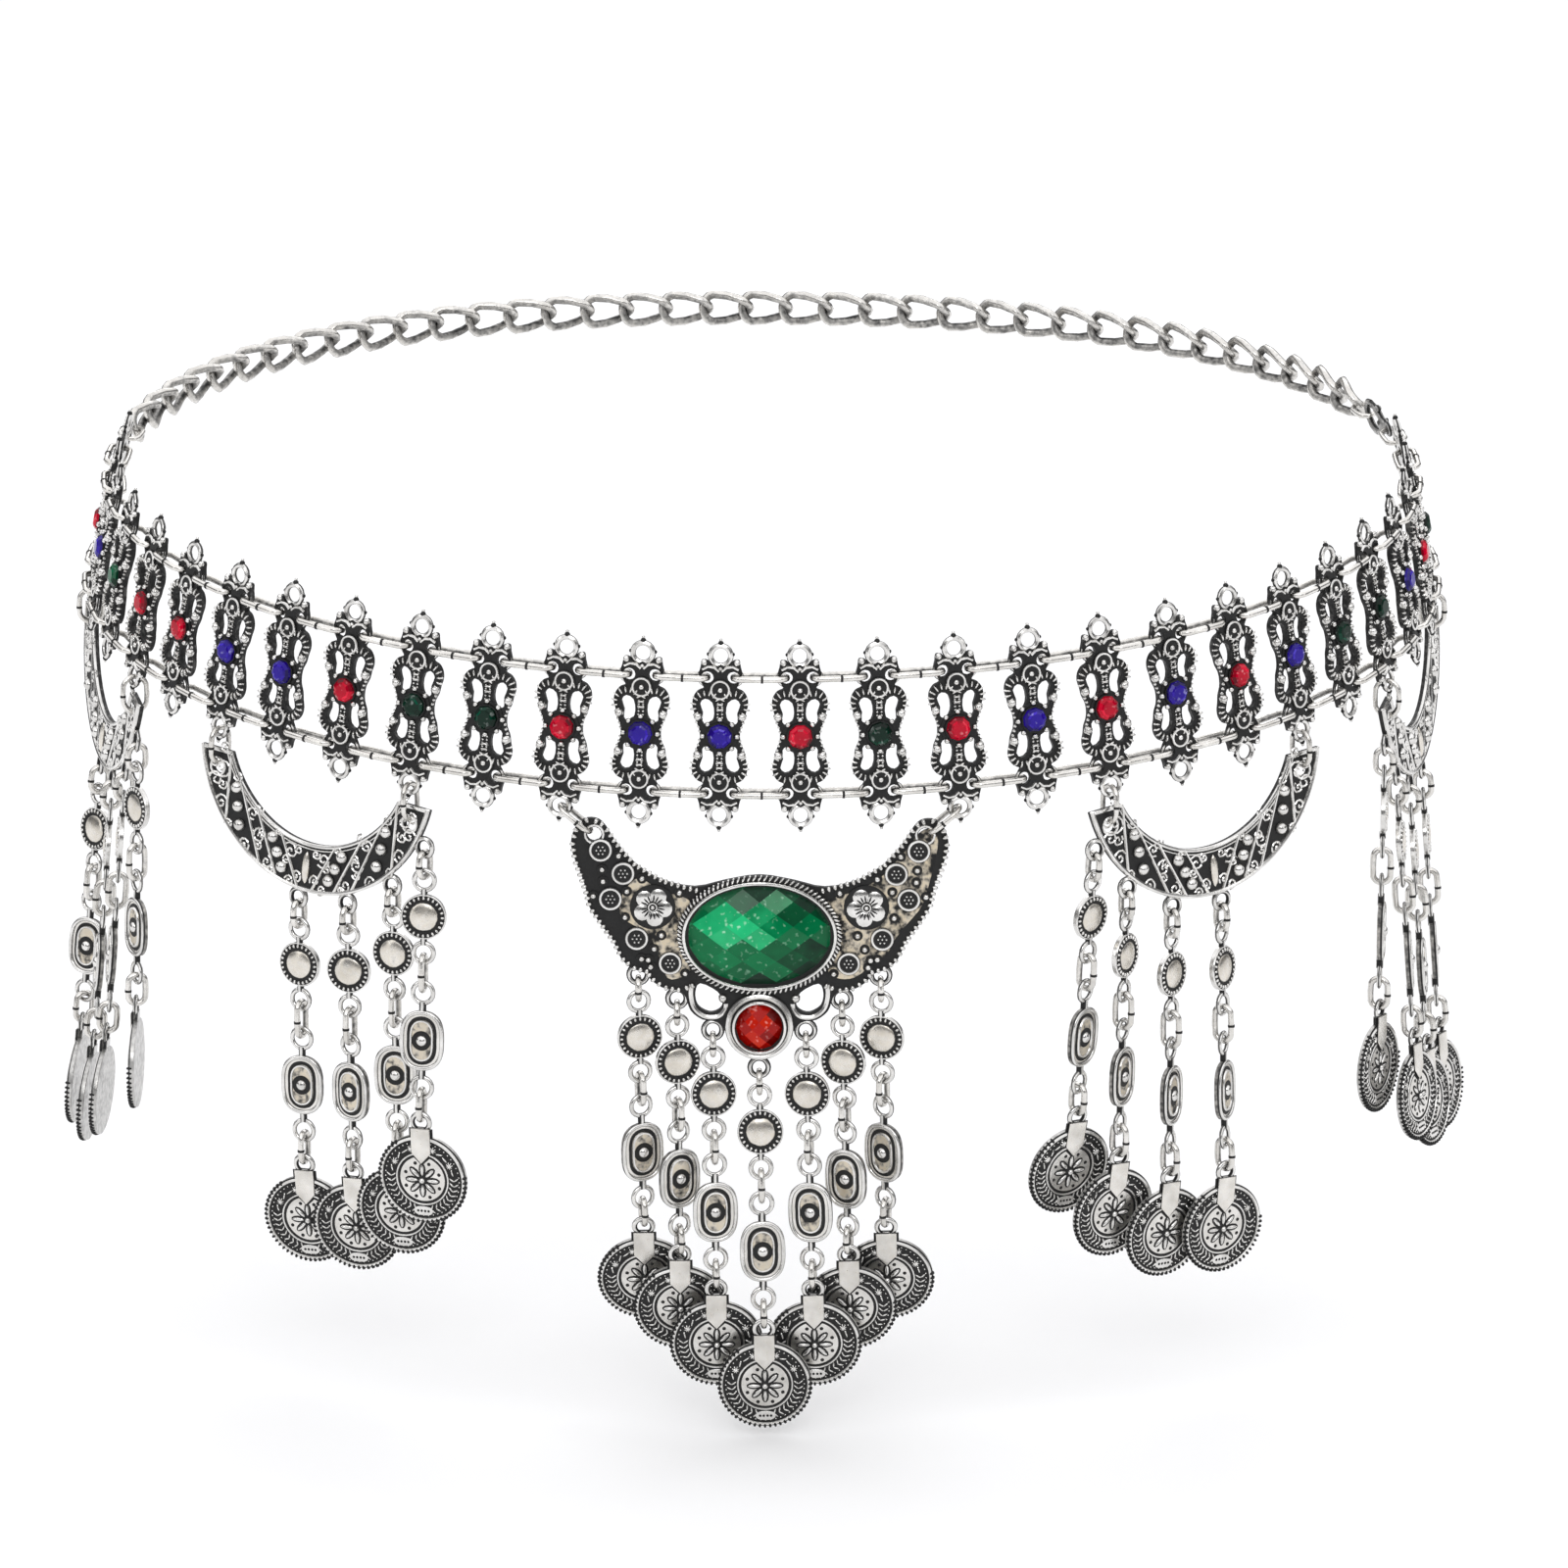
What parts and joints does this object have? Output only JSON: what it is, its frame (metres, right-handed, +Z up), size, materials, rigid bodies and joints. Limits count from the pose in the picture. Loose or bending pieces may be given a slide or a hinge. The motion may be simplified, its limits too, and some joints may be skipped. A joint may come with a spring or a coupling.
{
  "type": "body chain",
  "caption": "Antiqued silver-tone coin belt chain: jewelled filigree bars, crescent and winged pendants with coin strands, curb chain and lobster clasp",
  "frame": {"origin": "centre of the waist opening, where the wearer holds the belt", "axes": "+X the viewer's right with the belt seen from the front, -Y the front, +Z up"},
  "size_m": [0.3076, 0.2352, 0.2028],
  "materials": {
    "antique_silver": "antiqued silver plate: bright raised metal with blackened recesses",
    "green_stone": "faceted, polished",
    "blue_stone": "faceted, polished; the small blue stones of the bars",
    "red_stone": "faceted, polished"
  },
  "bodies": {
    "belt": {"bar_01": "antique_silver", "bar_02": "antique_silver", "bar_03": "antique_silver", "bar_04": "antique_silver", "bar_05": "antique_silver", "bar_06": "antique_silver", "bar_07": "antique_silver", "bar_08": "antique_silver", "bar_09": "antique_silver", "bar_10": "antique_silver", "bar_11": "antique_silver", "bar_12": "antique_silver", "bar_13": "antique_silver", "bar_14": "antique_silver", "bar_15": "antique_silver", "bar_16": "antique_silver", "bar_17": "antique_silver", "bar_18": "antique_silver", "bar_19": "antique_silver", "bar_20": "antique_silver", "bar_21": "antique_silver", "bar_22": "antique_silver", "bar_23": "antique_silver", "bar_24": "antique_silver", "bar_25": "antique_silver", "bar_26": "antique_silver", "bar_27": "antique_silver", "bar_28": "antique_silver", "curb_chain": "antique_silver", "lobster_clasp": "antique_silver"},
    "centre_pendant": {"centre_casting": "antique_silver", "green_gem": "green_stone", "red_gem": "red_stone", "centre_strand_1": "antique_silver", "centre_strand_2": "antique_silver", "centre_strand_3": "antique_silver", "centre_strand_4": "antique_silver", "centre_strand_5": "antique_silver", "centre_strand_6": "antique_silver", "centre_strand_7": "antique_silver"},
    "left_pendant": {"left_crescent": "antique_silver", "left_strand_1": "antique_silver", "left_strand_2": "antique_silver", "left_strand_3": "antique_silver", "left_strand_4": "antique_silver"},
    "right_pendant": {"right_crescent": "antique_silver", "right_strand_1": "antique_silver", "right_strand_2": "antique_silver", "right_strand_3": "antique_silver", "right_strand_4": "antique_silver"},
    "far_left_pendant": {"far_left_crescent": "antique_silver", "far_left_strand_1": "antique_silver", "far_left_strand_2": "antique_silver", "far_left_strand_3": "antique_silver", "far_left_strand_4": "antique_silver"},
    "far_right_pendant": {"far_right_crescent": "antique_silver", "far_right_strand_1": "antique_silver", "far_right_strand_2": "antique_silver", "far_right_strand_3": "antique_silver", "far_right_strand_4": "antique_silver"}
  },
  "joints": [
    {"name": "centre_swing", "type": "hinge", "parent": "belt", "child": "centre_pendant", "pos_m": [0.00006, -0.11113, -0.04497], "axis": [1, 0.0003, 0.0001], "range_deg": [-18, 12]},
    {"name": "left_swing", "type": "hinge", "parent": "belt", "child": "left_pendant", "pos_m": [-0.09296, -0.08665, -0.04264], "axis": [0.8239, -0.5556, -0.112], "range_deg": [-18, 12]},
    {"name": "right_swing", "type": "hinge", "parent": "belt", "child": "right_pendant", "pos_m": [0.09305, -0.08659, -0.04262], "axis": [0.8235, 0.5562, 0.1121], "range_deg": [-18, 12]},
    {"name": "far_left_swing", "type": "hinge", "parent": "belt", "child": "far_left_pendant", "pos_m": [-0.14062, -0.02314, -0.02983], "axis": [0.271, -0.9436, -0.1903], "range_deg": [-18, 12]},
    {"name": "far_right_swing", "type": "hinge", "parent": "belt", "child": "far_right_pendant", "pos_m": [0.14064, -0.02306, -0.02981], "axis": [0.2702, 0.9438, 0.1903], "range_deg": [-18, 12]}
  ]
}
